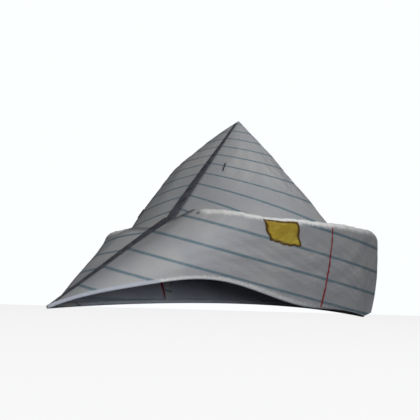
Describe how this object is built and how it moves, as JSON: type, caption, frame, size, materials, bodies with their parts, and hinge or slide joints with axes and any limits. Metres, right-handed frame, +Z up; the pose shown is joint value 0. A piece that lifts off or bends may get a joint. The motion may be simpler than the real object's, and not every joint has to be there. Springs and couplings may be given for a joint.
{
  "type": "paper hat",
  "caption": "Folded hat of ruled notebook paper: peaked crown with turned-up brims, free brim corners, a tape patch and staples.",
  "frame": {"origin": "on the table plane, below the apex, midway between the hat's two tips", "axes": "+Z up, +X from the left tip to the right tip, -Y is the front with the tape"},
  "size_m": [0.1864, 0.1131, 0.0838],
  "materials": {
    "ruled_paper": "matte ruled notebook paper",
    "inner_paper": "matte ruled notebook paper",
    "tape": "aged amber sticky tape",
    "staple_steel": "dull wire"
  },
  "bodies": {
    "root": {"crown_front": "ruled_paper", "crown_back": "ruled_paper", "left_gusset": "inner_paper", "right_gusset": "inner_paper", "front_brim": "ruled_paper", "back_brim": "ruled_paper", "front_tuck": "inner_paper", "back_tuck": "inner_paper", "front_rim_fold": "ruled_paper", "back_rim_fold": "ruled_paper", "tape_patch": "tape", "front_staple": "staple_steel", "back_staple": "staple_steel"},
    "front_corner": {"front_brim_corner": "ruled_paper"},
    "back_corner": {"back_brim_corner": "ruled_paper"}
  },
  "joints": [
    {"name": "front_corner_crease", "type": "hinge", "parent": "root", "child": "front_corner", "pos_m": [0.09305, 0, 0.0003], "axis": [0.6445, 0.6087, -0.4628], "range_deg": [-8, 80]},
    {"name": "back_corner_crease", "type": "hinge", "parent": "root", "child": "back_corner", "pos_m": [0.09305, 0, 0.0003], "axis": [-0.6944, 0.6055, 0.3888], "range_deg": [-8, 80]}
  ]
}
